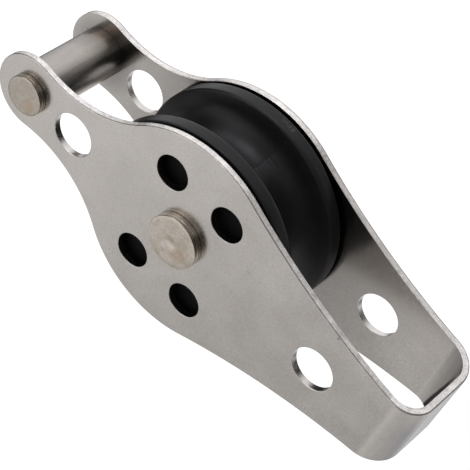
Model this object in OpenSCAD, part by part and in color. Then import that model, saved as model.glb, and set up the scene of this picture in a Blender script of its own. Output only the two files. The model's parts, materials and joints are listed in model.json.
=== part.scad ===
// Single block with a becket: a folded stainless strap, a grooved nylon sheave on a clamped
// bush, and a spacer on a rivet across the ears for the standing end of the line.
// Frame: the origin is on the axis of the head eye, midway between the cheeks. +Z points along
// the load line to the folded head, +Y runs along the axle, away from the rivets' made heads.

/* [Sheave] */
// Outer diameter of the sheave over its rims
sheave_d = 31.6; // [28:0.1:36]
// Width of the flat on each rim
rim_flat = 1.9; // [1.2:0.1:2.4]
// Width of the line groove at its mouth
groove_w = 8; // [7.8:0.1:9]
// Depth of the line groove below the rims
groove_depth = 4.5; // [4:0.1:5]
// Radius of the groove's round bottom
groove_r = 3.8; // [3.2:0.1:3.9]
// Rounding of the outer edge of each rim
rim_round = 0.4; // [0.2:0.1:0.8]
// Diameter of the hub boss
hub_d = 13.4; // [12:0.1:16]
// How far the hub boss stands out past each rim
hub_step = 0.5; // [0.2:0.1:1.2]
// Depth of the ring-shaped recess in each side
recess_depth = 0.4; // [0.2:0.1:1]
// Width of the rim ring left outside that recess
rim_ring = 2.6; // [2:0.1:4]

/* [Axle] */
// Diameter of the axle rivet's shank
axle_d = 6; // [5:0.1:6.6]
// Wall of the bush on which the sheave turns
bush_wall = 1; // [0.8:0.1:1.6]
// Diameter of the axle rivet's two heads
axle_head_d = 7.8; // [7.4:0.1:10]
// Height of the axle rivet's made head
axle_head_h = 1.3; // [0.8:0.1:2]
// Diameter of the punch mark in that head
punch_d = 2.2; // [1.4:0.1:3]
// Depth of the punch mark
punch_depth = 0.12; // [0.05:0.01:0.3]

/* [Strap] */
// Thickness of the strap's sheet
sheet = 1; // [0.8:0.1:1.5]
// How far the cheeks' round edge stands out past the sheave
cheek_margin = 0; // [0:0.1:2]
// Radius of the round end of each ear
ear_r = 5.6; // [5:0.1:7]
// Radius of the hollow curve from ear to cheek
neck_r = 17; // [12:0.5:24]
// Radius of the long hollow curve from cheek to fold
flank_r = 105; // [90:1:140]
// Width of the strap across the fold
fold_w = 11.2; // [9:0.1:14]
// Length of each flank's straight part below the bends
flank_straight = 1; // [0.5:0.1:3]
// Inner radius of the two bends at the fold
bend_r = 3.3; // [2.5:0.1:5]
// Diameter of the eyes in the head and in the ears
eye_d = 6.3; // [5:0.1:7]
// Distance from the sheave's rim to the head eye's axis
head_gap = 8.4; // [7:0.1:12]
// Distance from the head eye's axis to the inside of the fold
fold_gap = 13.5; // [9:0.1:20]
// Diameter of the small lightening holes
light_hole_d = 5; // [4:0.1:5.6]
// Radius of the circle that the lightening holes lie on
light_circle_r = 9.7; // [8.6:0.1:10.6]
// Angle of each lightening hole from the long axis
light_angle = 60; // [45:1:65]

/* [Becket] */
// Clear way for the line between the sheave's rim and the spacer
line_gap = 8.7; // [7:0.1:14]
// Distance from the becket rivet to the eye in the ears
ear_eye_pitch = 8.3; // [7.6:0.1:9]
// Diameter of the becket rivet's shank
becket_pin_d = 4; // [3:0.1:4.6]
// Wall of the spacer on the becket rivet
spacer_wall = 1.5; // [1.2:0.1:2]
// Diameter of the becket rivet's two heads
becket_head_d = 5.8; // [5.4:0.1:7]
// Height of the becket rivet's made head
becket_head_h = 1.1; // [0.6:0.1:1.6]

/* [Rivets] */
// Chamfer round the face of each made head
head_chamfer = 0.2; // [0.1:0.05:0.4]
// Height of the straight side of each closed head
closed_side_h = 0.5; // [0.3:0.1:0.8]
// Height that each closed head is crowned above its side
closed_crown_h = 0.5; // [0.3:0.1:0.7]

/* [Clearances] */
// Play between the hub and each cheek
side_play = 0.25; // [0.1:0.05:0.6]
// Radial running clearance of the sheave on its bush
running_clearance = 0.05; // [0.02:0.01:0.1]
// Radial clearance of each rivet in its holes and its sleeve
rivet_clearance = 0.04; // [0.02:0.01:0.1]

/* [Hidden] */
$fn = 96;
steel = [0.77, 0.75, 0.72];
rivet_steel = [0.73, 0.7, 0.64];
nylon = [0.09, 0.09, 0.1];
// The hollow arcs cut this far into the rounds that they meet, so that the curves cross
bite = 0.002;
// How far a cutting shape runs past what it cuts
overrun = 1;
sheave_r = sheave_d / 2;
rim_w = groove_w + 2 * rim_flat;
hub_w = rim_w + 2 * hub_step;
inner_w = hub_w + 2 * side_play;
outer_w = inner_w + 2 * sheet;
bush_d = axle_d + 2 * (rivet_clearance + bush_wall);
sheave_bore_d = bush_d + 2 * running_clearance;
spacer_d = becket_pin_d + 2 * (rivet_clearance + spacer_wall);
cheek_r = sheave_r + cheek_margin;
axle_z = -(sheave_r + head_gap);
becket_z = axle_z - sheave_r - line_gap - spacer_d / 2;
ear_eye_z = becket_z + ear_eye_pitch;
fold_z = fold_gap + sheet;

// Distance from the axle to where the hollow circle's centre projects on the long axis, and
// its offset, for a circle of radius r that meets the cheek's round and the ear's round
pin_pitch = axle_z - becket_z;
neck_from_cheek = cheek_r + neck_r - bite;
neck_from_ear = ear_r + neck_r - bite;
neck_along = (pow(pin_pitch, 2) + pow(neck_from_cheek, 2) - pow(neck_from_ear, 2)) / (2 * pin_pitch);
neck_across = sqrt(pow(neck_from_cheek, 2) - pow(neck_along, 2));
neck_centre = [neck_across, axle_z - neck_along];

// The flank circle meets the cheek's round and passes through the corner of the fold
flank_from_cheek = cheek_r + flank_r - bite;
fold_corner = [fold_w / 2, fold_z];
corner_from_axle = norm(fold_corner - [0, axle_z]);
corner_angle = atan2(fold_corner.x, fold_corner.y - axle_z);
flank_turn = acos(
    (pow(flank_from_cheek, 2) + pow(corner_from_axle, 2) - pow(flank_r, 2))
    / (2 * flank_from_cheek * corner_from_axle)
);
flank_angle = corner_angle + flank_turn;
flank_centre = [flank_from_cheek * sin(flank_angle), axle_z + flank_from_cheek * cos(flank_angle)];
// Where that circle gives way to a straight edge, which runs on round the bends to the fold
join_z = fold_gap - bend_r - flank_straight;
join = [flank_centre.x - sqrt(pow(flank_r, 2) - pow(join_z - flank_centre.y, 2)), join_z];
// The straight edge starts inside the sheet, so that it crosses the circle at the join
straight_start = join + overrun * (join - fold_corner) / norm(join - fold_corner);

// A point from the centre of the cheek's round towards a hollow circle, past the round's edge
function beyond_cheek(centre) =
    [0, axle_z] + (cheek_r + overrun) * (centre - [0, axle_z]) / norm(centre - [0, axle_z]);
function beyond_ear(centre) =
    [0, becket_z] + (ear_r + overrun) * (centre - [0, becket_z]) / norm(centre - [0, becket_z]);
function flipped(p) = [-p.x, p.y];

// A cylinder along Y, centred on the mid plane, at height z and offset x
module cross_pin(d, length, z, x = 0) {
    translate([x, 0, z]) rotate([90, 0, 0]) cylinder(d = d, h = length, center = true);
}

// A revolved profile, drawn as [radius, y], stood along Y at height z
module turned(z) {
    translate([0, 0, z]) rotate([-90, 0, 0]) rotate_extrude() children();
}

// Side view of the strap: x is across and y is along the load line
module strap_outline() {
    neck_low = beyond_ear(neck_centre);
    neck_high = beyond_cheek(neck_centre);
    flank_low = beyond_cheek(flank_centre);
    curve_top = (join_z + fold_z) / 2;
    difference() {
        union() {
            translate([0, axle_z]) circle(r = cheek_r);
            translate([0, becket_z]) circle(r = ear_r);
            polygon([
                [0, becket_z], neck_low, neck_high, [0, axle_z], flipped(neck_high), flipped(neck_low)
            ]);
            polygon([
                [0, axle_z], flank_low, [cheek_r, curve_top], [-cheek_r, curve_top],
                flipped(flank_low)
            ]);
        }
        for (side = [-1, 1]) {
            translate([side * neck_centre.x, neck_centre.y]) circle(r = neck_r);
            translate([side * flank_centre.x, flank_centre.y]) circle(r = flank_r);
        }
    }
    polygon([
        [0, axle_z], straight_start, fold_corner, flipped(fold_corner), flipped(straight_start)
    ]);
}

// A sheet of the given half width with two round corners at its top
module arch(half_w, corner_r, top, bottom) {
    translate([-half_w, bottom]) square([2 * half_w, top - corner_r - bottom]);
    translate([corner_r - half_w, bottom]) square([2 * (half_w - corner_r), top - bottom]);
    for (side = [-1, 1])
        translate([side * (half_w - corner_r), top - corner_r]) circle(r = corner_r);
}

// End view of the folded sheet: x is along the axle and y is along the load line
module folded_section() {
    bottom = becket_z - ear_r - overrun;
    difference() {
        arch(outer_w / 2, bend_r + sheet, fold_z, bottom);
        arch(inner_w / 2, bend_r, fold_gap, bottom - overrun);
    }
}

module strap() {
    through = outer_w + 2 * overrun;
    color(steel) difference() {
        intersection() {
            rotate([90, 0, 90])
                linear_extrude(2 * (cheek_r + overrun), center = true) folded_section();
            rotate([90, 0, 0]) linear_extrude(through, center = true) strap_outline();
        }
        cross_pin(eye_d, through, 0);
        cross_pin(eye_d, through, ear_eye_z);
        cross_pin(axle_d + 2 * rivet_clearance, through, axle_z);
        cross_pin(becket_pin_d + 2 * rivet_clearance, through, becket_z);
        for (side = [-1, 1], end = [-1, 1])
            cross_pin(
                light_hole_d, through,
                axle_z + end * light_circle_r * cos(light_angle),
                side * light_circle_r * sin(light_angle)
            );
    }
}

// The line groove's section: a round bottom and two straight flanks that touch it
module groove_section() {
    centre_r = sheave_r - groove_depth + groove_r;
    mouth = [sheave_r - centre_r, groove_w / 2];
    reach = norm(mouth);
    touch_angle = atan2(mouth.y, mouth.x) + acos(groove_r / reach);
    touch = groove_r * [cos(touch_angle), sin(touch_angle)];
    flank = (mouth - touch) / norm(mouth - touch);
    past = mouth + overrun * flank;
    translate([centre_r, 0]) {
        circle(r = groove_r);
        polygon([[0, 0], touch, past, [past.x, -past.y], [touch.x, -touch.y]]);
    }
}

// Cuts one rim's outer corner to a round edge
module rim_corner() {
    translate([sheave_r - rim_round, rim_w / 2 - rim_round]) difference() {
        square(rim_round + overrun);
        circle(r = rim_round);
    }
}

module sheave() {
    bore_r = sheave_bore_d / 2;
    recess_r = sheave_r - rim_ring;
    color(nylon) turned(axle_z) difference() {
        union() {
            translate([bore_r, -rim_w / 2]) square([sheave_r - bore_r, rim_w]);
            translate([bore_r, -hub_w / 2]) square([hub_d / 2 - bore_r, hub_w]);
        }
        groove_section();
        for (side = [0, 1]) mirror([0, side]) {
            rim_corner();
            translate([hub_d / 2, rim_w / 2 - recess_depth])
                square([recess_r - hub_d / 2, recess_depth + overrun]);
        }
    }
}

// A rivet through both cheeks: a flat made head on the -Y side, a crowned closed head on the
// +Y side, and a shank between them
module rivet(shank_d, head_d, head_h) {
    head_r = head_d / 2;
    shank_r = shank_d / 2;
    seat = outer_w / 2;
    crown_r = (pow(head_r, 2) + pow(closed_crown_h, 2)) / (2 * closed_crown_h);
    crown_top = seat + closed_side_h + closed_crown_h;
    polygon([
        [0, -seat - head_h], [head_r - head_chamfer, -seat - head_h],
        [head_r, head_chamfer - seat - head_h], [head_r, -seat], [shank_r, -seat],
        [shank_r, seat], [head_r, seat], [head_r, seat + closed_side_h], [0, seat + closed_side_h]
    ]);
    intersection() {
        translate([0, seat]) square([head_r, closed_side_h + closed_crown_h]);
        translate([0, crown_top - crown_r]) circle(r = crown_r);
    }
}

// A plain sleeve that is clamped between the cheeks
module sleeve(bore_d, outer_d) {
    translate([bore_d / 2, -inner_w / 2]) square([(outer_d - bore_d) / 2, inner_w]);
}

module axle_rivet() {
    punch_r = (pow(punch_d / 2, 2) + pow(punch_depth, 2)) / (2 * punch_depth);
    face = -outer_w / 2 - axle_head_h;
    color(rivet_steel) turned(axle_z) difference() {
        rivet(axle_d, axle_head_d, axle_head_h);
        translate([0, face + punch_depth - punch_r]) circle(r = punch_r);
    }
}

module axle_bush() {
    color(steel) turned(axle_z) sleeve(axle_d + 2 * rivet_clearance, bush_d);
}

module becket_rivet() {
    color(rivet_steel) turned(becket_z) rivet(becket_pin_d, becket_head_d, becket_head_h);
}

module becket_spacer() {
    color(steel) turned(becket_z) sleeve(becket_pin_d + 2 * rivet_clearance, spacer_d);
}

strap();
sheave();
axle_rivet();
axle_bush();
becket_rivet();
becket_spacer();
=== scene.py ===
"""Looks for a small becket block: a punched and folded steel strap, a black nylon sheave,
two turned rivets, a bush and a spacer tube. Lengths are in millimetres until a mesh is made."""

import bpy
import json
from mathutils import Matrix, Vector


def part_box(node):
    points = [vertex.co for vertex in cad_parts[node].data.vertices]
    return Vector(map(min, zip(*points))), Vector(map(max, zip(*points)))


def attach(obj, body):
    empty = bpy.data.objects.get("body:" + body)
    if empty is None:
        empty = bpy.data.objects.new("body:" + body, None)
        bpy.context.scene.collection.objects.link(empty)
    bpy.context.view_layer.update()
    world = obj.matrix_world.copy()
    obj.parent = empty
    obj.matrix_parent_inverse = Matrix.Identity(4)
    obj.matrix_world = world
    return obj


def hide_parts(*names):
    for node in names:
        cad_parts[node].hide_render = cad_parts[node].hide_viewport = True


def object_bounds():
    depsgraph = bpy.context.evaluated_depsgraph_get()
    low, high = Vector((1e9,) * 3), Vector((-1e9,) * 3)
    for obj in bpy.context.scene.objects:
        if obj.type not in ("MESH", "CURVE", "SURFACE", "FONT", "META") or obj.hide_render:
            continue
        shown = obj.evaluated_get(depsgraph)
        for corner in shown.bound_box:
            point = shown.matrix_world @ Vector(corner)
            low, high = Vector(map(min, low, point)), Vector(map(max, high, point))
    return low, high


bl_info = {
    "name": "Becket Block Looks",
    "version": (1, 0, 0),
    "blender": (4, 5, 0),
    "location": "View3D > Sidebar > Block",
    "description": "Builds the strap, sheave, rivets and tubes of a small rigging block",
    "category": "Object",
}

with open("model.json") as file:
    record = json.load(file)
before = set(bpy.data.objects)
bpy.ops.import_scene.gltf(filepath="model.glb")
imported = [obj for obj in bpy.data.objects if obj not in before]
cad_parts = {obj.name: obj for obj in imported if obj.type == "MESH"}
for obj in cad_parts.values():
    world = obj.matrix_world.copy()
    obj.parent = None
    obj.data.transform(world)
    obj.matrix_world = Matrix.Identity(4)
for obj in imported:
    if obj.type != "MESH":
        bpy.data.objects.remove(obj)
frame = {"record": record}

import json
import math

import bmesh
import bpy
from bpy.props import FloatProperty, FloatVectorProperty, PointerProperty
from mathutils import Matrix, Vector
from mathutils.geometry import tessellate_polygon

CAD_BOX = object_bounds()
MM = 0.001


def mm(value):
    """Metres to millimetres."""
    return value / MM


# ---------------------------------------------------------------- sizes read from the frame
STRAP_LOW, STRAP_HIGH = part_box("strap")
SHEAVE_LOW, SHEAVE_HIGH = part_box("sheave")
AXLE_Z = mm(SHEAVE_LOW.z + SHEAVE_HIGH.z) / 2
BECKET_Z = mm(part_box("becket_spacer")[0].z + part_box("becket_spacer")[1].z) / 2
EAR_EYE_Z = mm(next(m for m in frame["record"]["mounts"] if m["name"] == "ear_eye")["pos_m"][2])
FOLD_Z = mm(STRAP_HIGH.z)
CHEEK_R = mm(STRAP_HIGH.x)
EAR_R = BECKET_Z - mm(STRAP_LOW.z)
OUTER_Y = mm(STRAP_HIGH.y)
INNER_Y = mm(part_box("axle_bush")[1].y)
SHEET = OUTER_Y - INNER_Y
SHEAVE_R = mm(SHEAVE_HIGH.x)
HUB_Y = mm(SHEAVE_HIGH.y)


# ---------------------------------------------------------------- what a user can change
class BlockSizes(bpy.types.PropertyGroup):
    """Sizes of the small forms that the strap, wheel and rivets get here"""

    face_round: FloatProperty(
        name="Punch roll-over", description="Rounding of the sheet's outer edges, in mm",
        default=0.14, min=0.02, max=0.3)
    burr_round: FloatProperty(
        name="Tumbled burr", description="Rounding of the sheet's inner edges, in mm",
        default=0.07, min=0.02, max=0.3)
    rim_round: FloatProperty(
        name="Rim rounding", description="Rounding of the wheel's outer corners, in mm",
        default=0.2, min=0.1, max=0.8)
    mouth_round: FloatProperty(
        name="Groove mouth rounding", description="Rounding where rim and groove meet, in mm",
        default=0.4, min=0.05, max=1.0)
    turned_round: FloatProperty(
        name="Rivet edge", description="Rounding of the turned edges of the rivets, in mm",
        default=0.11, min=0.02, max=0.4)


COLOUR = {"subtype": "COLOR", "size": 3, "min": 0, "max": 1}


class BlockFinishes(bpy.types.PropertyGroup):
    """Colours and gloss of the block's finishes"""

    sheet: FloatVectorProperty(
        name="Sheet steel", description="Colour of the strap's rolled faces",
        **COLOUR, default=(0.452, 0.424, 0.399))
    sheared: FloatVectorProperty(
        name="Sheared steel", description="Colour of the punched edges",
        **COLOUR, default=(0.74, 0.706, 0.682))
    turned: FloatVectorProperty(
        name="Turned steel", description="Colour of the rivets",
        **COLOUR, default=(0.475, 0.425, 0.367))
    tube: FloatVectorProperty(
        name="Tube steel", description="Colour of the spacer and the bush",
        **COLOUR, default=(0.395, 0.365, 0.34))
    nylon: FloatVectorProperty(
        name="Nylon", description="Colour of the wheel",
        **COLOUR, default=(0.0075, 0.0075, 0.0082))
    sheet_roughness: FloatProperty(
        name="Sheet roughness", description="Roughness of the rolled faces",
        default=0.25, min=0.05, max=0.8)
    inside_roughness: FloatProperty(
        name="Inside roughness", description="Roughness of the strap's unrubbed inner faces",
        default=0.19, min=0.05, max=0.8)
    nylon_roughness: FloatProperty(
        name="Nylon roughness", description="Roughness of the moulded wheel",
        default=0.33, min=0.1, max=0.9)


# ---------------------------------------------------------------- mesh helpers
def in_scene(name, data):
    """A new object for a mesh, a lamp or a camera, linked into the scene."""
    made = bpy.data.objects.new(name, data)
    bpy.context.scene.collection.objects.link(made)
    return made


def piece(name, body, replaced, vertices, faces, materials, face_material=None,
          attributes=(), normals=None):
    """A mesh made from points in mm, which rides on a body and stands for a CAD node. Each
    attribute is a name and one number for each point. With normals, the points are unique."""
    mesh = bpy.data.meshes.new(name)
    mesh.from_pydata([Vector(v) * MM for v in vertices], [], faces)
    for label, values in attributes:
        mesh.attributes.new(label, "FLOAT", "POINT").data.foreach_set("value", values)
    for material in materials:
        mesh.materials.append(material)
    if face_material:
        mesh.polygons.foreach_set("material_index", face_material)
    work = bmesh.new()
    work.from_mesh(mesh)
    if normals is None:
        bmesh.ops.remove_doubles(work, verts=work.verts, dist=2e-4 * MM)
    bmesh.ops.recalc_face_normals(work, faces=work.faces)
    for face in work.faces:
        face.smooth = True
    work.to_mesh(mesh)
    work.free()
    made = in_scene(name, mesh)
    if normals is None:
        weighted = made.modifiers.new("even shading", "WEIGHTED_NORMAL")
        weighted.keep_sharp = True
        weighted.weight = 90
    else:
        mesh.normals_split_custom_set_from_vertices(normals)
    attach(made, body)
    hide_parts(replaced)
    return made


def rounded(corners, closed=True):
    """Points along a profile of (r, y, round) corners, with an arc in place of each round one."""
    points, count = [], len(corners)
    for i, (r, y, radius) in enumerate(corners):
        here = Vector((r, y))
        if radius <= 0:
            points.append(here)
            continue
        before = (Vector(corners[i - 1][:2]) - here).normalized()
        after = (Vector(corners[(i + 1) % count][:2]) - here).normalized()
        half = before.angle(after) / 2
        reach = radius / math.tan(half)
        centre = here + (before + after).normalized() * radius / math.sin(half)
        start, end = here + before * reach - centre, here + after * reach - centre
        turn = start.angle_signed(end)
        steps = max(3, round(abs(turn) / math.radians(18)))
        for k in range(steps + 1):
            a = -turn * k / steps
            points.append(centre + Matrix.Rotation(a, 2) @ start)
    return points


def lathed(profile, z, segments, dent=None):
    """Turns a closed (r, y) profile about the cross axis at height z. dent(r, y, angle) moves a
    point in or out."""
    vertices, faces, rows = [], [], []
    for r, y in profile:
        if r < 1e-6:
            rows.append([len(vertices)])
            vertices.append((0.0, y, z))
            continue
        rows.append(list(range(len(vertices), len(vertices) + segments)))
        for k in range(segments):
            a = 2 * math.pi * k / segments
            q = r + (dent(r, y, a) if dent else 0.0)
            vertices.append((q * math.sin(a), y, z + q * math.cos(a)))
    for i, low in enumerate(rows):
        high = rows[(i + 1) % len(rows)]
        if len(low) == 1 and len(high) == 1:
            continue
        for k in range(segments):
            n = (k + 1) % segments
            if len(low) == 1:
                faces.append((low[0], high[k], high[n]))
            elif len(high) == 1:
                faces.append((low[k], high[0], low[n]))
            else:
                faces.append((low[k], high[k], high[n], low[n]))
    return vertices, faces


# ---------------------------------------------------------------- shader nodes, in metres
def group(name, inputs, outputs):
    """An empty shader node group with float inputs, and the nodes at its two ends."""
    tree = bpy.data.node_groups.new(name, "ShaderNodeTree")
    for label, default in inputs:
        tree.interface.new_socket(
            label, in_out="INPUT", socket_type="NodeSocketFloat").default_value = default
    for label, kind in outputs:
        tree.interface.new_socket(label, in_out="OUTPUT", socket_type=kind)
    return tree, tree.nodes.new("NodeGroupInput"), tree.nodes.new("NodeGroupOutput")


def link(tree, source, target):
    tree.links.new(source, target)


def noise(tree, vector, scale, detail=2.0, rough=0.5, distort=0.0):
    """Noise from 0 to 1, whose scale is a number or a socket."""
    node = tree.nodes.new("ShaderNodeTexNoise")
    link(tree, vector, node.inputs["Vector"])
    if isinstance(scale, (int, float)):
        node.inputs["Scale"].default_value = scale
    else:
        link(tree, scale, node.inputs["Scale"])
    node.inputs["Detail"].default_value = detail
    node.inputs["Roughness"].default_value = rough
    node.inputs["Distortion"].default_value = distort
    return node.outputs["Fac"]


def math_node(tree, kind, a, b=None):
    """A math node on one or two values, each a number or a socket."""
    node = tree.nodes.new("ShaderNodeMath")
    node.operation = kind
    for socket, value in zip(node.inputs, (a, b)):
        if value is None:
            continue
        if isinstance(value, (int, float)):
            socket.default_value = value
        else:
            link(tree, value, socket)
    return node.outputs[0]


def times(tree, a, b):
    return math_node(tree, "MULTIPLY", a, b)


def plus(tree, a, b):
    return math_node(tree, "ADD", a, b)


def minus(tree, a, b):
    return math_node(tree, "SUBTRACT", a, b)


def spread(tree, value, low, high, to_low=0.0, to_high=1.0):
    """Maps a value from one range to another, and holds it at the ends."""
    node = tree.nodes.new("ShaderNodeMapRange")
    node.inputs["From Min"].default_value = low
    node.inputs["From Max"].default_value = high
    node.inputs["To Min"].default_value = to_low
    node.inputs["To Max"].default_value = to_high
    link(tree, value, node.inputs["Value"])
    return node.outputs["Result"]


def mapped(tree, vector, scale, turn=0.0):
    """A point turned about the cross axis and stretched."""
    node = tree.nodes.new("ShaderNodeMapping")
    node.inputs["Rotation"].default_value = (0.0, turn, 0.0)
    node.inputs["Scale"].default_value = scale
    link(tree, vector, node.inputs["Vector"])
    return node.outputs["Vector"]


def gap(tree, a, b):
    """How far apart two values are."""
    return math_node(tree, "ABSOLUTE", minus(tree, a, b))


def axes(tree, vector):
    """The X, Y and Z of a vector."""
    node = tree.nodes.new("ShaderNodeSeparateXYZ")
    link(tree, vector, node.inputs[0])
    return node.outputs


def surface_value(tree, name):
    """A number that the mesh holds at each of its points."""
    node = tree.nodes.new("ShaderNodeAttribute")
    node.attribute_name = name
    return node.outputs["Fac"]


def object_point(tree):
    """A point's place in the shared frame, in metres."""
    return tree.nodes.new("ShaderNodeTexCoord").outputs["Object"]


def mottle_group():
    """Soft clouding of bare steel: a multiplier round 1 for the colour, and a roughness mask."""
    tree, start, end = group(
        "steel mottle", [("Cloud Scale", 160.0), ("Grain Scale", 2600.0), ("Strength", 0.06)],
        [("Shade", "NodeSocketFloat"), ("Mask", "NodeSocketFloat"), ("Height", "NodeSocketFloat")])
    point = object_point(tree)
    cloud = noise(tree, point, start.outputs["Cloud Scale"], 4.0, 0.55, 0.4)
    grain = noise(tree, point, start.outputs["Grain Scale"], 3.0, 0.7)
    mix = plus(tree, times(tree, cloud, 0.45), times(tree, grain, 0.55))
    centred = minus(tree, mix, 0.5)
    shade = plus(tree, times(tree, times(tree, centred, 2.0), start.outputs["Strength"]), 1.0)
    link(tree, shade, end.inputs["Shade"])
    link(tree, mix, end.inputs["Mask"])
    link(tree, grain, end.inputs["Height"])
    return tree


def marks_group():
    """Handling marks: short fine scratches in several directions, and small dark specks."""
    tree, start, end = group(
        "handling marks", [("Scratch Scale", 300.0), ("Speck Scale", 900.0), ("Amount", 0.5)],
        [("Scratches", "NodeSocketFloat"), ("Specks", "NodeSocketFloat")])
    point = object_point(tree)
    found = None
    for turn, stretch in ((0.4, 14.0), (1.3, 20.0), (2.35, 11.0)):
        line = noise(tree, mapped(tree, point, (1.0, 1.0, stretch), turn),
                     start.outputs["Scratch Scale"], 1.0, 0.4)
        edge = spread(tree, gap(tree, line, 0.5), 0.0, 0.006, 1.0, 0.0)
        gate = spread(tree, noise(tree, point, 90.0 + 40.0 * turn, 1.0), 0.56, 0.66)
        one = times(tree, edge, gate)
        found = one if found is None else math_node(tree, "MAXIMUM", found, one)
    link(tree, times(tree, found, start.outputs["Amount"]), end.inputs["Scratches"])
    cells = tree.nodes.new("ShaderNodeTexVoronoi")
    link(tree, start.outputs["Speck Scale"], cells.inputs["Scale"])
    link(tree, point, cells.inputs["Vector"])
    dot = spread(tree, cells.outputs["Distance"], 0.05, 0.2, 1.0, 0.0)
    rare = spread(tree, noise(tree, point, 330.0, 2.0), 0.63, 0.7)
    specks = times(tree, times(tree, dot, rare), start.outputs["Amount"])
    link(tree, specks, end.inputs["Specks"])
    return tree


def rings_group():
    """Tool marks of turning: rings about an axle at a height, bands along it, and the distance
    from it."""
    tree, start, end = group(
        "tool rings", [("Axis Height", 0.0), ("Axis Across", 0.0), ("Rings per metre", 5000.0),
                       ("Waver", 0.3)],
        [("Rings", "NodeSocketFloat"), ("Bands", "NodeSocketFloat"),
         ("Distance", "NodeSocketFloat")])
    point = object_point(tree)
    place = axes(tree, point)
    lift = minus(tree, place["Z"], start.outputs["Axis Height"])
    across = minus(tree, place["X"], start.outputs["Axis Across"])
    radius = math_node(tree, "SQRT", plus(
        tree, times(tree, lift, lift),
        times(tree, across, across)))
    link(tree, radius, end.inputs["Distance"])
    drift = times(tree, noise(tree, point, 500.0, 2.0), start.outputs["Waver"])
    for output, value in (("Rings", radius), ("Bands", place["Y"])):
        phase = plus(tree, times(
            tree, value, start.outputs["Rings per metre"]), drift)
        wave = math_node(tree, "SINE", times(tree, phase, 2 * math.pi))
        fine = math_node(tree, "SINE", times(tree, phase, 5.3 * math.pi))
        mix = plus(tree, times(tree, wave, 0.3),
                        times(tree, fine, 0.2))
        link(tree, plus(tree, mix, 0.5), end.inputs[output])
    return tree


GROUPS = {}


def shared(name):
    """The named node group, made the first time that it is asked for."""
    makers = {"mottle": mottle_group, "marks": marks_group, "rings": rings_group}
    if name not in GROUPS:
        GROUPS[name] = makers[name]()
    return GROUPS[name]


class Finish:
    """A material with its Principled shader, and short ways to add nodes to it."""

    def __init__(self, name, color, metallic, roughness, specular=0.5):
        self.material = bpy.data.materials.new(name)
        self.material.use_nodes = True
        self.tree = self.material.node_tree
        self.shader = self.tree.nodes["Principled BSDF"]
        self.color = (*color, 1.0)
        self.shader.inputs["Base Color"].default_value = self.color
        self.shader.inputs["Metallic"].default_value = metallic
        self.shader.inputs["Roughness"].default_value = roughness
        self.shader.inputs["Specular IOR Level"].default_value = specular

    def add(self, name, **values):
        """Places a shared group. Its values are named as its inputs, with _ for a space."""
        node = self.tree.nodes.new("ShaderNodeGroup")
        node.node_tree = shared(name)
        for label, value in values.items():
            node.inputs[label.replace("_", " ")].default_value = value
        return node.outputs

    def mix(self, blend):
        """A mix node between the base colour as it is so far and the shader."""
        node = self.tree.nodes.new("ShaderNodeMix")
        node.data_type = "RGBA"
        node.blend_type = blend
        target = self.shader.inputs["Base Color"]
        if target.is_linked:
            link(self.tree, target.links[0].from_socket, node.inputs["A"])
        else:
            node.inputs["A"].default_value = self.color
        link(self.tree, node.outputs["Result"], target)
        return node.inputs

    def from_axle(self, height, across=0.0):
        """The distance from a line along Y, in metres."""
        return self.add("rings", Axis_Height=height, Axis_Across=across, Rings_per_metre=0.0,
                        Waver=0.0)["Distance"]

    def shade(self, factor):
        """Multiplies the base colour by a value that changes over the surface."""
        inputs = self.mix("MULTIPLY")
        inputs["Factor"].default_value = 1.0
        link(self.tree, factor, inputs["B"])

    def toward(self, color, mask):
        """Mixes the base colour towards another one by a mask."""
        inputs = self.mix("MIX")
        inputs["B"].default_value = (*color, 1.0)
        link(self.tree, mask, inputs["Factor"])

    def bump(self, height, strength, depth):
        """Adds a height to the shader's normal, over the bumps that are there."""
        node = self.tree.nodes.new("ShaderNodeBump")
        node.inputs["Strength"].default_value = strength
        node.inputs["Distance"].default_value = depth
        link(self.tree, height, node.inputs["Height"])
        socket = self.shader.inputs["Normal"]
        if socket.is_linked:
            link(self.tree, socket.links[0].from_socket, node.inputs["Normal"])
        link(self.tree, node.outputs["Normal"], socket)

    def rough(self, value):
        link(self.tree, value, self.shader.inputs["Roughness"])


def sheet_finish(name, color, base, inside=False):
    """Rolled and tumbled sheet: soft clouds, fine grain, a few scratches and dark pits. Its
    outside has painted shade on the fold, and its inside painted shade near the wheel, the
    spacer and in the bends."""
    f = Finish(name, color, 1.0, base)
    tree = f.tree
    mottle = f.add("mottle", Cloud_Scale=210.0, Grain_Scale=2600.0, Strength=0.3)
    marks = f.add("marks", Scratch_Scale=240.0, Speck_Scale=620.0, Amount=0.9)
    f.shade(mottle["Shade"])
    f.toward((0.13, 0.11, 0.10), times(tree, marks["Specks"], 0.7))
    rough = spread(tree, mottle["Mask"], 0.3, 0.7, base - 0.05, base + 0.06)
    rough = plus(tree, rough, times(tree, marks["Scratches"], 0.14))
    if inside:
        # the sheet is rougher where it was bent
        bend = surface_value(tree, "bend")
        rough = plus(tree, rough, spread(tree, bend, 0.0, 0.12, 0.0, 0.3))
    f.rough(rough)
    f.bump(mottle["Height"], 0.16, 0.00002)
    f.bump(marks["Scratches"], 0.2, 0.00002)
    place = axes(tree, object_point(tree))
    if inside:
        inside_painted_shade(f, place["X"], bend)
    else:
        # painted shade: darker on the fold, except near one flank
        f.toward((0.2, 0.2, 0.22), times(
            tree, spread(tree, place["Z"], 0.0125, 0.0141),
            spread(tree, place["X"], -0.0055, -0.0015, 0.0, 0.6)))
    return f.material


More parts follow.
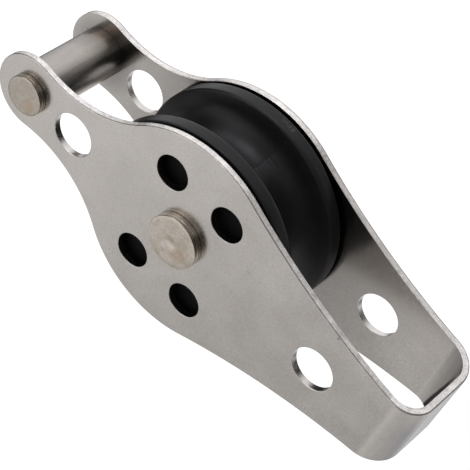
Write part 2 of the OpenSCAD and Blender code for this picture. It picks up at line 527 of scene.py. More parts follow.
def inside_painted_shade(f, across, bend):
    """Darkens the sheet near the wheel and the spacer, and lays a soft darkening and a black line
    in the bends, whose share of the turn from cheek to fold is bend. All of this is painted shade."""
    tree = f.tree
    # painted shade: darker near the wheel and round the spacer
    for height, low, high, dark in ((AXLE_Z, 17.0, 31.0, 0.62), (BECKET_Z, 3.6, 7.0, 0.55)):
        away = f.from_axle(height * MM)
        f.shade(spread(tree, away, low * MM, high * MM, dark, 1.0))
    # painted shade in the bends: a soft dark band and a black line
    waver = minus(tree, noise(tree, object_point(tree), 300.0, 3.0), 0.5)
    turned = plus(tree, bend, times(tree, waver, 0.12))
    soft = gap(tree, turned, 0.66)
    f.toward((0.03, 0.028, 0.027), spread(tree, soft, 0.0, 0.6, 0.33, 0.0))
    # the line leans: towards the +X flank it lies earlier in the turn
    line = gap(tree, plus(tree, turned, times(tree, across, 32.0)), 0.58)
    line = spread(tree, line, 0.05, 0.1, 1.0, 0.0)
    f.toward((0.006, 0.006, 0.006), times(
        tree, line, spread(tree, across, -0.004, -0.001, 0.1, 1.0)))


def sheared_finish(looks):
    """Punched edges, by the share of the thickness from the inner face (0) to the outer one (1):
    a grainy torn zone, a bright cut zone, and a dark line where the face rolls over."""
    f = Finish("sheared edge", looks.sheared, 1.0, 0.34)
    tree = f.tree
    depth = surface_value(tree, "through")
    point = object_point(tree)
    waver = times(tree, minus(tree, noise(tree, point, 500.0, 3.0), 0.5), 0.5)
    torn = spread(tree, plus(tree, depth, waver), 0.14, 0.3, 1.0, 0.0)
    line = gap(tree, plus(tree, depth, times(tree, waver, 0.15)), 0.87)
    line = spread(tree, line, 0.03, 0.1, 1.0, 0.0)
    # noise that changes much faster through the sheet than along it
    node = tree.nodes.new("ShaderNodeTexNoise")
    node.noise_dimensions = "4D"
    link(tree, point, node.inputs["Vector"])
    link(tree, times(tree, depth, 9.0), node.inputs["W"])
    node.inputs["Scale"].default_value = 260.0
    node.inputs["Detail"].default_value = 3.0
    streaks = node.outputs["Fac"]
    grain = f.add("mottle", Cloud_Scale=500.0, Grain_Scale=2200.0, Strength=0.95)
    f.shade(grain["Shade"])
    f.shade(spread(tree, streaks, 0.3, 0.7, 0.84, 1.1))
    f.shade(spread(tree, torn, 0.0, 1.0, 1.0, 0.92))
    f.toward((0.12, 0.10, 0.095), times(tree, line, 0.85))
    f.rough(plus(tree, spread(tree, streaks, 0.3, 0.7, 0.22, 0.36), times(tree, torn, 0.1)))
    f.bump(streaks, 0.5, 0.00004)
    f.bump(times(tree, grain["Height"], torn), 0.3, 0.00003)
    return f.material


def turned_finish(looks, name, height, head_r, shade_tone, worn_share):
    """Turned and hammered rivet steel: tool marks, a worn pale middle, and brown stains."""
    # the steel colour is scaled by a tone; a tone below 1 is painted shade
    f = Finish(name, [c * shade_tone for c in looks.turned], 1.0, 0.3)
    tree = f.tree
    tool = f.add("rings", Axis_Height=height, Rings_per_metre=4200.0, Waver=0.5)
    mottle = f.add("mottle", Cloud_Scale=640.0, Grain_Scale=2600.0, Strength=0.55)
    point = object_point(tree)

    def away(up, across, scale, ragged):
        """The distance from a spot of the head, in head radii, with a ragged edge."""
        distance = f.from_axle(height + up * head_r, across * head_r)
        return plus(tree, math_node(tree, "DIVIDE", distance, head_r),
                    times(tree, noise(tree, point, scale, 3.0), ragged))

    f.shade(mottle["Shade"])
    worn, stain = away(-0.075, 0.3, 1500.0, 0.16), away(0.4, 0.26, 900.0, 0.6)
    f.toward((0.62, 0.58, 0.56), spread(tree, worn, 0.33, 0.37, worn_share, 0.0))
    f.toward((0.36, 0.25, 0.18), spread(tree, stain, 0.45, 0.75, 0.6, 0.0))
    patches = spread(tree, noise(tree, point, 420.0, 3.0, 0.6), 0.52, 0.7)
    f.toward((0.30, 0.255, 0.19), times(tree, patches, 0.55))
    f.rough(spread(tree, mottle["Mask"], 0.3, 0.7, 0.16, 0.3))
    f.bump(tool["Rings"], 0.12, 0.00002)
    f.bump(tool["Bands"], 0.1, 0.00002)
    f.bump(mottle["Height"], 0.3, 0.00003)
    return f.material


def tube_finish(looks):
    """Drawn tube: faint lines along its length, a few rubbed warm patches, and painted shade on
    its far end.
    """
    f = Finish("drawn tube", looks.tube, 1.0, 0.3)
    tree = f.tree
    point = object_point(tree)
    lines = noise(tree, mapped(tree, point, (1.0, 0.04, 1.0)), 3600.0, 3.0, 0.6)
    mottle = f.add("mottle", Cloud_Scale=420.0, Grain_Scale=2600.0, Strength=0.12)
    f.shade(mottle["Shade"])
    f.shade(spread(tree, lines, 0.3, 0.7, 0.9, 1.06))
    patch = spread(tree, noise(tree, point, 260.0, 2.0), 0.56, 0.68)
    f.toward((0.5, 0.40, 0.30), times(tree, patch, 0.5))
    # painted shade: darker towards the far end
    end = plus(tree, axes(tree, point)["Y"], times(tree, noise(tree, point, 300.0, 2.0), 0.002))
    f.toward((0.07, 0.058, 0.05), spread(tree, end, 0.0015, 0.0068, 0.0, 0.6))
    f.rough(spread(tree, lines, 0.3, 0.7, 0.24, 0.38))
    f.bump(lines, 0.2, 0.00002)
    return f.material


def nylon_finish(looks):
    """Moulded nylon: fine lines along the groove, a parting line across it with a scratched
    patch on one side of it, rubbed nicks in the rims, and rougher sides darkened by painted shade."""
    f = Finish("moulded nylon", looks.nylon, 0.0, looks.nylon_roughness, 0.22)
    tree = f.tree
    mottle = f.add("mottle", Cloud_Scale=260.0, Grain_Scale=2200.0, Strength=0.4)
    marks = f.add("marks", Scratch_Scale=420.0, Speck_Scale=640.0, Amount=0.9)
    radius = f.from_axle(AXLE_Z * MM)
    point = object_point(tree)
    along = axes(tree, point)["Y"]

    def inside_rim(full, none, most=1.0):
        """A mask that is full that many mm inside the rim, and gone nearer to it."""
        return spread(tree, radius, (SHEAVE_R - full) * MM, (SHEAVE_R - none) * MM, most, 0.0)

    # the plane of the parting line holds the axle
    plane = tree.nodes.new("ShaderNodeVectorMath")
    plane.operation = "DOT_PRODUCT"
    link(tree, point, plane.inputs[0])
    plane.inputs[1].default_value = (math.cos(PARTING), 0.0, -math.sin(PARTING))
    off = minus(tree, plane.outputs["Value"], -math.sin(PARTING) * AXLE_Z * MM)
    parting = spread(tree, math_node(tree, "ABSOLUTE", off), 0.00003, 0.00009, 1.0, 0.0)
    parting = times(tree, parting, inside_rim(1.6, 1.2))
    one_side = spread(tree, off, -0.00002, 0.00002)
    flow = tree.nodes.new("ShaderNodeCombineXYZ")
    link(tree, radius, flow.inputs["X"])
    link(tree, along, flow.inputs["Y"])
    lines = noise(tree, flow.outputs[0], 4200.0, 3.0, 0.6)

    f.shade(mottle["Shade"])
    f.toward((0.05, 0.05, 0.052), times(tree, marks["Scratches"], 0.25))
    worn = spread(tree, noise(tree, point, 2600.0, 2.0), 0.42, 0.6)
    f.toward((0.05, 0.05, 0.052), times(tree, surface_value(tree, "rubbed"), worn))
    f.toward((0.001, 0.001, 0.001), parting)
    scuff = times(tree, one_side, spread(tree, off, 0.0003, 0.0026, 1.0, 0.0))
    scuff = times(tree, scuff, spread(tree, lines, 0.42, 0.62, 0.1, 1.0))
    f.toward((0.045, 0.045, 0.047), times(tree, scuff, inside_rim(3.4, 2.4, 0.5)))
    matt_shaded_sides = times(tree, spread(tree, math_node(tree, "ABSOLUTE", along), 0.0042, 0.0048),
                 inside_rim(2.2, 1.6))
    # painted shade: the sides that face the cheeks are darkened to near black; they are also
    # rougher
    f.toward((0.0015, 0.0015, 0.0015), matt_shaded_sides)
    base = looks.nylon_roughness
    rough = spread(tree, mottle["Mask"], 0.3, 0.7, base - 0.06, base + 0.08)
    for mask, more in ((matt_shaded_sides, 0.45), (one_side, 0.05), (parting, 0.3)):
        rough = plus(tree, rough, times(tree, mask, more))
    f.rough(rough)
    f.bump(lines, 0.25, 0.00003)
    f.bump(mottle["Height"], 0.12, 0.00003)
    return f.material


# ---------------------------------------------------------------- the strap
def arc(centre, radius, start, end, spacing, hollow=False):
    """(point, outward normal) pairs along an arc of the outline, angles from +X to +Z."""
    steps = max(4, math.ceil(abs(end - start) * radius / spacing))
    out = []
    for k in range(steps + 1):
        a = start + (end - start) * k / steps
        ray = Vector((math.cos(a), math.sin(a)))
        out.append((Vector(centre) + ray * radius, -ray if hollow else ray))
    return out


class StrapShape:
    """The strap's outline and section, from the frame's box and the drawn radii."""

    neck_r, flank_r, fold_half, bend_r, straight = 17.0, 105.0, 5.6, 3.3, 1.0

    def __init__(self):
        axle, becket = Vector((0.0, AXLE_Z)), Vector((0.0, BECKET_Z))
        pitch = AXLE_Z - BECKET_Z
        a, b = CHEEK_R + self.neck_r, EAR_R + self.neck_r
        along = (pitch ** 2 + a ** 2 - b ** 2) / (2 * pitch)
        self.neck = Vector((math.sqrt(a ** 2 - along ** 2), AXLE_Z - along))
        corner = Vector((self.fold_half, FOLD_Z)) - axle
        reach = CHEEK_R + self.flank_r
        turn = math.acos((reach ** 2 + corner.length_squared - self.flank_r ** 2)
                         / (2 * reach * corner.length))
        lean = math.atan2(corner.x, corner.y) + turn
        self.flank = axle + Vector((math.sin(lean), math.cos(lean))) * reach
        self.axle, self.becket = axle, becket
        self.bend_z = FOLD_Z - SHEET - self.bend_r
        self.join_z = self.bend_z - self.straight
        self.join_x = self.flank.x - math.sqrt(
            self.flank_r ** 2 - (self.join_z - self.flank.y) ** 2)

    def half_width(self, z):
        """Half the strap's width on the straight stretch round the bends."""
        share = (z - self.join_z) / (FOLD_Z - self.join_z)
        return self.join_x + (self.fold_half - self.join_x) * share

    def right_side(self):
        """The outline from the bend down to the ear's tip, as (point, outward normal)."""
        run = Vector((self.join_x - self.fold_half, self.join_z - FOLD_Z)).normalized()
        out = Vector((-run.y, run.x))
        if out.x < 0:
            out = -out
        start = Vector((self.half_width(self.bend_z), self.bend_z))
        join = Vector((self.join_x, self.join_z))
        side = [(start, Vector((1.0, 0.0))), ((start + join) / 2, out)]

        def angle(p, centre):
            return math.atan2(p.y - centre.y, p.x - centre.x)

        high = self.axle + (self.flank - self.axle).normalized() * CHEEK_R
        low = self.axle + (self.neck - self.axle).normalized() * CHEEK_R
        ear = self.becket + (self.neck - self.becket).normalized() * EAR_R
        full = 2 * math.pi
        side += arc(self.flank, self.flank_r, angle(join, self.flank) % full,
                    angle(high, self.flank) % full, 0.6, True)
        side += arc(self.axle, CHEEK_R, angle(high, self.axle), angle(low, self.axle), 0.4)[1:]
        side += arc(self.neck, self.neck_r, angle(low, self.neck) % full,
                    angle(ear, self.neck) % full, 0.35, True)[1:]
        side += arc(self.becket, EAR_R, angle(ear, self.becket), -math.pi / 2, 0.25)[1:]
        return side

    def outline(self):
        right = self.right_side()
        left = [(Vector((-p.x, p.y)), Vector((-n.x, n.y))) for p, n in reversed(right[:-1])]
        return right + left


def edge_profile(sizes):
    """(inset, height, sideways, through) rows down a punched edge, from the sheet's outer face
    to its inner one. The last two are the surface normal's parts."""
    out, burr = sizes.face_round, sizes.burr_round
    quarter = [(math.sin(a), math.cos(a)) for a in (math.pi / 2 * k / 4 for k in range(5))]
    rows = [(out * (1 - s), SHEET - out * (1 - c), s, c) for s, c in quarter]
    rows += [(burr * (1 - c), burr * (1 - s), c, -s) for s, c in quarter]
    return rows


EYE_R, AXLE_HOLE_R, BECKET_HOLE_R = 3.15, 3.04, 2.04
LIGHT_HOLE_R, LIGHT_CIRCLE_R, LIGHT_ANGLE = 2.5, 9.7, math.radians(60)
HOLES = [  # x, z, radius
    (0.0, 0.0, EYE_R), (0.0, EAR_EYE_Z, EYE_R),
    (0.0, AXLE_Z, AXLE_HOLE_R), (0.0, BECKET_Z, BECKET_HOLE_R),
] + [
    (sx * LIGHT_CIRCLE_R * math.sin(LIGHT_ANGLE),
     AXLE_Z + sz * LIGHT_CIRCLE_R * math.cos(LIGHT_ANGLE), LIGHT_HOLE_R)
    for sx in (-1, 1) for sz in (-1, 1)
]
FACE, EDGE, INNER, BORE = 0, 1, 2, 3  # the strap's materials, in order
ACROSS, BEND_STEPS, TOP_STEPS = 12, 16, 8  # steps across the fold, round a bend, over the top


def build_strap(sizes):
    """The strap's points, faces and materials, its two surface values, and exact normals."""
    shape, rows = StrapShape(), edge_profile(sizes)
    vertices, faces, kinds, depths, bends, normals, known = [], [], [], [], [], [], {}

    def put(point, height, normal, bend=0.0):
        """The number of a point at a height in the sheet. Points in one place are one point."""
        key = tuple(round(v * 2000 + 0.25) for v in point)
        if key not in known:
            known[key] = len(vertices)
            vertices.append(point)
            depths.append(height / SHEET)
            bends.append(bend)
            normals.append(Vector(normal).normalized())
        return known[key]

    def fill(loops, reverse, kind):
        """A flat face with holes, as triangles."""
        flat = [i for loop in loops for i in loop]
        polygon = [[Vector((vertices[i][0], vertices[i][2], 0.0)) for i in loop] for loop in loops]
        for tri in tessellate_polygon(polygon):
            face = [flat[i] for i in tri]
            faces.append(face[::-1] if reverse else face)
            kinds.append(kind)

    def wall(ring, closed, kind):
        """The faces of an edge, between the columns of points down it."""
        for i in range(len(ring) - (0 if closed else 1)):
            low, high = ring[i], ring[(i + 1) % len(ring)]
            for k in range(len(rows) - 1):
                faces.append((low[k], high[k], high[k + 1], low[k + 1]))
                kinds.append(FACE if k < 2 else kind)

    def columns(inset):
        """The x of the points across the sheet where a bend starts."""
        half = shape.half_width(shape.bend_z) - inset
        return [half * (2 * k / ACROSS - 1) for k in range(ACROSS + 1)]

    for side in (-1, 1):
        def down(x, z, nx, nz):
            """The points down an edge whose outward normal is (nx, nz)."""
            return [put((x - nx * inset, side * (INNER_Y + height), z - nz * inset), height,
                        (nx * sideways, side * through, nz * sideways))
                    for inset, height, sideways, through in rows]

        def along_bend(height, through):
            """The points across one face where the bend starts."""
            inset = rows[0 if through > 0 else -1][0]
            return [put((x, side * (INNER_Y + height), shape.bend_z), height,
                        (0.0, side * through, 0.0)) for x in columns(inset)[1:-1]]

        ring = [down(p.x, p.y, n.x, n.y) for p, n in shape.outline()]
        wall(ring, False, EDGE)
        outer = [r[0] for r in ring] + along_bend(SHEET, 1.0)
        inner = [r[-1] for r in ring] + along_bend(0.0, -1.0)
        outer_loops, inner_loops = [outer], [inner]
        for x, z, radius in HOLES:
            count = 72 if radius > 3 else 56
            ring = []
            for k in range(count):
                a = 2 * math.pi * k / count
                c, s = math.cos(a), math.sin(a)
                ring.append(down(x + radius * c, z + radius * s, -c, -s))
            wall(ring, True, BORE if radius == EYE_R else INNER)
            outer_loops.append([r[0] for r in ring])
            inner_loops.append([r[-1] for r in ring])
        fill(outer_loops, False, FACE)
        fill(inner_loops, True, INNER)

    # the two bends and the flat between them
    bend_y = INNER_Y - shape.bend_r

    def section(step, height):
        """(y, z) of a point on the fold, and the sheet's outward (y, z) there."""
        kind, value = step
        r = shape.bend_r + height
        if kind == "top":
            return value, FOLD_Z - SHEET + height, 0.0, 1.0
        c, s = math.cos(math.radians(value)), math.sin(math.radians(value))
        return kind * (bend_y + r * c), shape.bend_z + r * s, kind * c, s

    steps = [(-1, 90.0 * k / BEND_STEPS) for k in range(BEND_STEPS + 1)]
    steps += [("top", bend_y * (2 * k / TOP_STEPS - 1)) for k in range(1, TOP_STEPS)]
    steps += [(1, 90.0 * k / BEND_STEPS) for k in range(BEND_STEPS, -1, -1)]
    rings = []
    for step in steps:
        ring = []

        def spot(share, row):
            """The point at a share of the half width, on one row of the edge profile."""
            inset, height, sideways, through = row
            y, z, face_y, face_z = section(step, height)
            bend = 1.0 if step[0] == "top" else step[1] / 90.0
            edge = sideways if abs(share) == 1 else 0.0
            return put((share * (shape.half_width(z) - inset), y, z), height,
                       (share * edge, face_y * through, face_z * through),
                       bend if height < SHEET / 2 else 0.0)

        ring += [spot(2 * k / ACROSS - 1, rows[0]) for k in range(ACROSS + 1)]
        ring += [spot(1, row) for row in rows[1:]]
        ring += [spot(1 - 2 * k / ACROSS, rows[-1]) for k in range(1, ACROSS + 1)]
        ring += [spot(-1, row) for row in rows[-2:0:-1]]
        rings.append(ring)
    count = len(rings[0])
    first_edge, second_edge = ACROSS, 2 * ACROSS + len(rows) - 1
    for low, high in zip(rings, rings[1:]):
        for k in range(count):
            n = (k + 1) % count
            faces.append((low[k], low[n], high[n], high[k]))
            on_first = first_edge + 2 <= k < first_edge + len(rows) - 1
            on_second = second_edge <= k < count - 2
            inside = first_edge + len(rows) - 1 <= k < second_edge
            kinds.append(EDGE if on_first or on_second else INNER if inside else FACE)
    return vertices, faces, kinds, [("through", depths), ("bend", bends)], normals


# ---------------------------------------------------------------- the wheel
def sheave_profile(sizes):
    """The wheel's section as (r, y) points, from the bore round both sides and the groove."""
    half_rim, groove_half, groove_depth, groove_r = 6.05, 4.0, 4.5, 3.8
    bore_r, hub_r, recess, ring = 4.09, 6.7, 0.4, 2.6
    centre = SHEAVE_R - groove_depth + groove_r
    mouth = Vector((SHEAVE_R - centre, groove_half))
    touch = math.atan2(mouth.y, mouth.x) + math.acos(groove_r / mouth.length)
    flank = Vector((centre, 0)) + groove_r * Vector((math.cos(touch), math.sin(touch)))
    side = [  # r, y, rounding
        (bore_r, HUB_Y, 0.2), (hub_r, HUB_Y, 0.25), (hub_r, half_rim - recess, 0.2),
        (SHEAVE_R - ring, half_rim - recess, 0.15), (SHEAVE_R - ring, half_rim, 0.15),
        (SHEAVE_R, half_rim, sizes.rim_round), (SHEAVE_R, groove_half, sizes.mouth_round),
        (flank.x, flank.y, 0),
    ]
    arc_steps = 26
    bottom = [(centre + groove_r * math.cos(a), groove_r * math.sin(a), 0) for a in (
        touch + (2 * math.pi - 2 * touch) * k / arc_steps for k in range(1, arc_steps))]
    other = [(r, -y, radius) for r, y, radius in reversed(side)]
    profile = rounded(side + bottom + other)
    # more rings across the flat rims, so that small dents there have points to move
    dense, parts = [], 4
    for p, q in zip(profile, profile[1:] + profile[:1]):
        dense.append(p)
        if min(p.x, q.x) > SHEAVE_R - 0.01 and abs(p.y - q.y) > 0.3:
            dense += [p.lerp(q, k / parts) for k in range(1, parts)]
    return dense


NICKS = [  # angle about the axle in degrees, y, width along the rim and across it, depth
    (-86.5, 5.5, 0.55, 0.4, 0.2), (-83.9, 5.3, 0.4, 0.35, 0.14), (-89.6, 5.6, 0.45, 0.3, 0.12),
    (40.0, 5.5, 0.5, 0.35, 0.14), (150.0, -5.5, 0.5, 0.3, 0.12),
    (95.0, 5.5, 0.4, 0.3, 0.1),
]
DEEPEST = 0.2
PARTING = math.radians(-81.8)  # where the parting line crosses the groove


def nick(r, y, angle):
    """How far a rim's point is dented."""
    if r < SHEAVE_R - 0.5:
        return 0.0
    depth = 0.0
    for degrees, at_y, along, across, deep in NICKS:
        turn = (angle - math.radians(degrees) + math.pi) % (2 * math.pi) - math.pi
        d = (turn * r / along) ** 2 + ((y - at_y) / across) ** 2
        if d < 1:
            depth = max(depth, deep * (1 - d) ** 1.5)
    return -depth


def rubbed(vertices):
    """How far each point of the wheel lies in a nick, from 0 to 1."""
    values, full = [], 0.06
    for x, y, z in vertices:
        r, angle = math.hypot(x, z - AXLE_Z), math.atan2(x, z - AXLE_Z)
        on_rim = r > SHEAVE_R - 0.6
        values.append(min(1.0, -nick(r + DEEPEST, y, angle) / full) if on_rim else 0.0)
    return values


# ---------------------------------------------------------------- rivets and tubes
def rivet_profile(shank_r, node, sizes, punched=False):
    """A turned rivet: a flat made head on the near side, with a tool groove round it and maybe
    a punch mark, and a crowned closed head beyond."""
    low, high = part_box(node)
    head_r, near, far = mm(high.x), mm(low.y), mm(high.y)
    crown, edge = 0.5, sizes.turned_round
    mark_r, mark_depth, mark_steps = 1.1, 0.05, 8
    groove, at, foot = 0.14, near + (-OUTER_Y - near) * 0.42, 0.1
    points = [(0.0, near, 0)]
    if punched:
        points = [(mark_r * k / mark_steps,
                   near + mark_depth * (1 - (k / mark_steps) ** 2) ** 2, 0)
                  for k in range(mark_steps + 1)]
    points += [(head_r * share, near, 0) for share in (0.5, 0.7, 0.85)]
    points += [
        (head_r, near, edge), (head_r, at - 0.1, 0.03), (head_r - groove, at, 0.02),
        (head_r, at + 0.06, 0.03), (head_r, -OUTER_Y - 0.09, 0.03),
        (head_r - foot, -OUTER_Y, 0), (shank_r, -OUTER_Y, 0),
        (shank_r, OUTER_Y, 0), (head_r, OUTER_Y, 0.04), (head_r, far - crown, 0.12),
    ]
    sphere, steps = (head_r ** 2 + crown ** 2) / (2 * crown), 10
    top = math.asin(head_r / sphere)
    for k in range(1, steps + 1):
        a = top * (1 - k / steps)
        points.append((sphere * math.sin(a), far - sphere + sphere * math.cos(a), 0))
    return rounded(points)


def sleeve_profile(node, bore_r):
    """A plain tube with slightly broken outer edges."""
    high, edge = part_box(node)[1], 0.06
    r, y = mm(high.x), mm(high.y)
    return rounded([(bore_r, -y, 0), (r, -y, edge), (r, y, edge), (bore_r, y, 0)])


# ---------------------------------------------------------------- the stage
WHITE = (1.0, 1.0, 1.0, 1.0)
COOL, NEUTRAL = (0.88, 0.87, 1.0), (1.0, 1.0, 1.0)
MIDDLE = (CAD_BOX[0] + CAD_BOX[1]) / 2
FLOOR_DROP, FLOOR_HALF = 0.42, 6.0
FLAGS = (  # name, direction from the block, distance and radius in m, brightness of the middle
    ("side_flag", (-0.55, 0.16, 0.8), 0.5, 0.62, 0.0),
    ("top_flag", (0.75, 0.4, 0.51), 0.6, 0.34, 0.7),
    ("high_flag", (0.75, -0.25, 0.6), 0.62, 0.36, 0.75),
    ("lens_flag", (-0.74, -0.64, 0.05), 0.5, 0.3, 0.5),
    ("low_flag", (0.05, 0.0, -1.0), 0.36, 0.26, 0.0),
    ("back_flag", (0.89, -0.42, -0.02), 0.9, 0.37, 0.49),
    ("head_flag", (-0.15, -0.64, 0.72), 0.5, 0.5, 0.12),
    ("bend_flag", (0.74, -0.31, -0.59), 0.5, 0.18, 0.5),
    ("rim_flag", (0.54, 0.64, -0.55), 0.5, 0.2, 0.15),
    ("limb_flag", (0.5, 0.66, 0.56), 0.5, 0.17, 0.2),
)
LAMPS = (  # name, place from the block's middle in m, size in m, watts, colour
    ("key", (-0.5, 0.03, -0.2), 0.3, 0.64, COOL),
    ("key_low", (-0.31, 0.05, -0.4), 0.24, 0.12, COOL),
    ("fill", (-0.2, -0.3, -0.5), 0.4, 0.38, NEUTRAL),
    ("ear_lamp", (0.58, -0.5, -0.48), 0.3, 0.09, NEUTRAL),
)


def seen(tree):
    """1 for rays that show the background: straight, mirrored or through something clear."""
    path = tree.nodes.new("ShaderNodeLightPath").outputs
    return math_node(tree, "MAXIMUM", path["Is Camera Ray"], math_node(
        tree, "MAXIMUM", path["Is Glossy Ray"], path["Is Transmission Ray"]))


def emptied(owner):
    """The node tree of a new material or world, with nothing in it."""
    owner.use_nodes = True
    owner.node_tree.nodes.clear()
    return owner.node_tree


def white_world():
    """A plain level of light, and white where the background is seen."""
    world = bpy.data.worlds.new("studio")
    bpy.context.scene.world = world
    tree = emptied(world)
    light = tree.nodes.new("ShaderNodeBackground")
    light.inputs["Color"].default_value = (0.97, 0.98, 1.0, 1.0)
    light.inputs["Strength"].default_value = 0.75
    back = tree.nodes.new("ShaderNodeBackground")
    back.inputs["Color"].default_value = WHITE
    back.inputs["Strength"].default_value = 1.0
    mix = tree.nodes.new("ShaderNodeMixShader")
    out = tree.nodes.new("ShaderNodeOutputWorld")
    link(tree, seen(tree), mix.inputs["Fac"])
    link(tree, light.outputs[0], mix.inputs[1])
    link(tree, back.outputs[0], mix.inputs[2])
    link(tree, mix.outputs[0], out.inputs["Surface"])


def pale_floor():
    """A floor that takes the block's shadow and fades into the white behind it."""
    material = bpy.data.materials.new("pale floor")
    tree = emptied(material)
    card = tree.nodes.new("ShaderNodeBsdfDiffuse")
    card.inputs["Color"].default_value = (0.82, 0.82, 0.82, 1.0)
    glow = tree.nodes.new("ShaderNodeEmission")
    glow.inputs["Color"].default_value = WHITE
    link(tree, times(tree, seen(tree), 0.55), glow.inputs["Strength"])
    both = tree.nodes.new("ShaderNodeAddShader")
    out = tree.nodes.new("ShaderNodeOutputMaterial")
    link(tree, card.outputs[0], both.inputs[0])
    link(tree, glow.outputs[0], both.inputs[1])
    link(tree, both.outputs[0], out.inputs["Surface"])
    mesh = bpy.data.meshes.new("floor")
    half, z = FLOOR_HALF, CAD_BOX[0].z - FLOOR_DROP
    mesh.from_pydata([(-half, -half, z), (half, -half, z), (half, half, z), (-half, half, z)],
                     [], [(0, 1, 2, 3)])
    mesh.materials.append(material)
    in_scene("floor", mesh)


def flag(name, direction, distance, radius, shade):
    """A round studio flag with a soft edge, which shows only in what it is reflected in."""
    material = bpy.data.materials.new(name)
    tree = emptied(material)
    glow = tree.nodes.new("ShaderNodeEmission")
    away = tree.nodes.new("ShaderNodeVectorMath")
    away.operation = "LENGTH"
    link(tree, object_point(tree), away.inputs[0])
    soft = spread(tree, away.outputs["Value"], radius * 0.45, radius, shade, 1.0)
    link(tree, soft, glow.inputs["Strength"])
    out = tree.nodes.new("ShaderNodeOutputMaterial")
    link(tree, glow.outputs[0], out.inputs["Surface"])
    mesh = bpy.data.meshes.new(name)
    work = bmesh.new()
    bmesh.ops.create_circle(work, cap_ends=True, segments=48, radius=radius)
    work.to_mesh(mesh)
    work.free()
    mesh.materials.append(material)
    card = in_scene(name, mesh)
    ray = Vector(direction).normalized()
    card.location = MIDDLE + ray * distance
    card.rotation_mode = "QUATERNION"
    card.rotation_quaternion = ray.to_track_quat("Z", "Y")
    for kind in ("camera", "diffuse", "shadow", "transmission"):
        setattr(card, "visible_" + kind, False)


def soft_lamp(name, place, size, watts, color):
    """A round lamp that faces the block and isn't seen itself."""
    lamp = bpy.data.lights.new(name, "AREA")
    lamp.shape = "DISK"
    lamp.size = size
    lamp.energy = watts
    lamp.color = color
    made = in_scene(name, lamp)
    made.location = MIDDLE + Vector(place)
    made.rotation_mode = "QUATERNION"
    made.rotation_quaternion = (MIDDLE - made.location).to_track_quat("-Z", "Y")
    made.visible_camera = False


def photo_camera():
    """The camera, at the place, roll and field of view fitted to the holes' ellipses."""
    right = Vector((-0.3396, 0.6261, 0.7019)).normalized()
    up = Vector((-0.5803, 0.4479, -0.6802))
    up = (up - right * up.dot(right)).normalized()
    turn = Matrix((right, up, right.cross(up))).transposed()
    data = bpy.data.cameras.new("camera")
    data.sensor_width = 36.0
    data.lens = 141.2
    data.clip_start, data.clip_end = 0.01, 50.0
    camera = in_scene("camera", data)
    camera.matrix_world = Matrix.Translation(
        Vector((-177.79, -153.83, 30.61)) * MM) @ turn.to_4x4()
    bpy.context.scene.camera = camera


# ---------------------------------------------------------------- operators
WHEEL_STEPS, TURNED_STEPS = 480, 128  # steps round the wheel, and round a rivet or tube


class BLOCK_OT_strap(bpy.types.Operator):
    """Build the punched and folded strap"""

    bl_idname = "block.strap"
    bl_label = "Strap"

    def execute(self, context):
        sizes, looks = context.scene.block_sizes, context.scene.block_finishes
        vertices, faces, kinds, attributes, normals = build_strap(sizes)
        piece("strap_sheet", "frame", "strap", vertices, faces,
              [sheet_finish("rolled sheet", looks.sheet, looks.sheet_roughness),
               sheared_finish(looks),
               sheet_finish("rolled sheet inside", looks.sheet,
                            looks.inside_roughness, True),
               sheet_finish("punched bore", [c * 0.85 for c in looks.sheared], 0.28)],
              kinds, attributes, normals)
        return {"FINISHED"}


class BLOCK_OT_sheave(bpy.types.Operator):
    """Build the grooved nylon wheel"""

    bl_idname = "block.sheave"
    bl_label = "Sheave"

    def execute(self, context):
        sizes, looks = context.scene.block_sizes, context.scene.block_finishes
        vertices, faces = lathed(sheave_profile(sizes), AXLE_Z, WHEEL_STEPS, nick)
        piece("sheave_wheel", "sheave", "sheave", vertices, faces,
              [nylon_finish(looks)], None, [("rubbed", rubbed(vertices))])
        return {"FINISHED"}


class BLOCK_OT_rivets(bpy.types.Operator):
    """Build the two turned rivets"""

    bl_idname = "block.rivets"
    bl_label = "Rivets"

    def execute(self, context):
        sizes, looks = context.scene.block_sizes, context.scene.block_finishes
        # the becket rivet's lower tone is painted shade on the same turned steel
        for node, shank_r, z, punched, shade_tone, worn in (
                ("axle_rivet", 3.0, AXLE_Z, True, 0.97, 0.28),
                ("becket_rivet", 2.0, BECKET_Z, False, 0.74, 0.05)):
            profile = rivet_profile(shank_r, node, sizes, punched)
            vertices, faces = lathed(profile, z, TURNED_STEPS)
            head_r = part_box(node)[1].x
            piece(node + "_turned", "frame", node, vertices, faces,
                  [turned_finish(looks, node + " steel", z * MM, head_r, shade_tone, worn)])
        return {"FINISHED"}


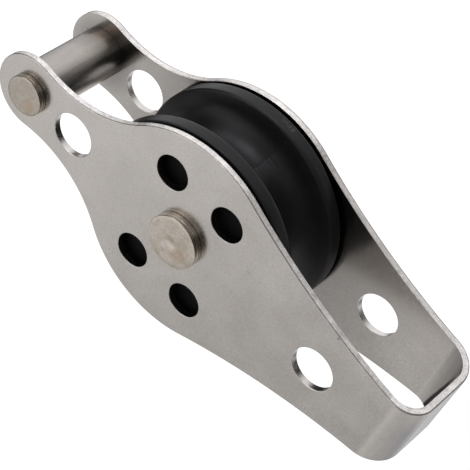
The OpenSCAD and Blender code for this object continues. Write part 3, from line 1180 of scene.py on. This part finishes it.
class BLOCK_OT_tubes(bpy.types.Operator):
    """Build the bush and the becket's spacer tube"""

    bl_idname = "block.tubes"
    bl_label = "Tubes"

    def execute(self, context):
        steel = tube_finish(context.scene.block_finishes)
        for node, bore_r, z in (("axle_bush", AXLE_HOLE_R, AXLE_Z),
                                ("becket_spacer", BECKET_HOLE_R, BECKET_Z)):
            vertices, faces = lathed(sleeve_profile(node, bore_r), z, TURNED_STEPS)
            piece(node + "_tube", "frame", node, vertices, faces, [steel])
        return {"FINISHED"}


class BLOCK_OT_stage(bpy.types.Operator):
    """Set up the camera, the world, the floor, the flags and the lamps"""

    bl_idname = "block.stage"
    bl_label = "Stage"

    def execute(self, context):
        photo_camera()
        white_world()
        pale_floor()
        for row in FLAGS:
            flag(*row)
        for row in LAMPS:
            soft_lamp(*row)
        context.scene.view_settings.view_transform = "Standard"
        return {"FINISHED"}


class BLOCK_PT_panel(bpy.types.Panel):
    """Lists the block's pieces and the stage"""

    bl_idname = "BLOCK_PT_panel"
    bl_label = "Becket Block"
    bl_space_type = "VIEW_3D"
    bl_region_type = "UI"
    bl_category = "Block"

    def draw(self, context):
        layout = self.layout
        for operator in OPERATORS:
            layout.operator(operator.bl_idname)
        for group_name in ("block_sizes", "block_finishes"):
            settings = getattr(context.scene, group_name)
            for name in settings.__annotations__:
                layout.prop(settings, name)


OPERATORS = (BLOCK_OT_strap, BLOCK_OT_sheave, BLOCK_OT_rivets, BLOCK_OT_tubes, BLOCK_OT_stage)
CLASSES = (BlockSizes, BlockFinishes, *OPERATORS, BLOCK_PT_panel)


def register():
    for cls in CLASSES:
        bpy.utils.register_class(cls)
    bpy.types.Scene.block_sizes = PointerProperty(type=BlockSizes)
    bpy.types.Scene.block_finishes = PointerProperty(type=BlockFinishes)


def unregister():
    del bpy.types.Scene.block_finishes
    del bpy.types.Scene.block_sizes
    for cls in reversed(CLASSES):
        bpy.utils.unregister_class(cls)


def main():
    """Builds the block and the stage."""
    register()
    bpy.ops.block.strap()
    bpy.ops.block.sheave()
    bpy.ops.block.rivets()
    bpy.ops.block.tubes()
    bpy.ops.block.stage()


if __name__ == "__main__":
    main()
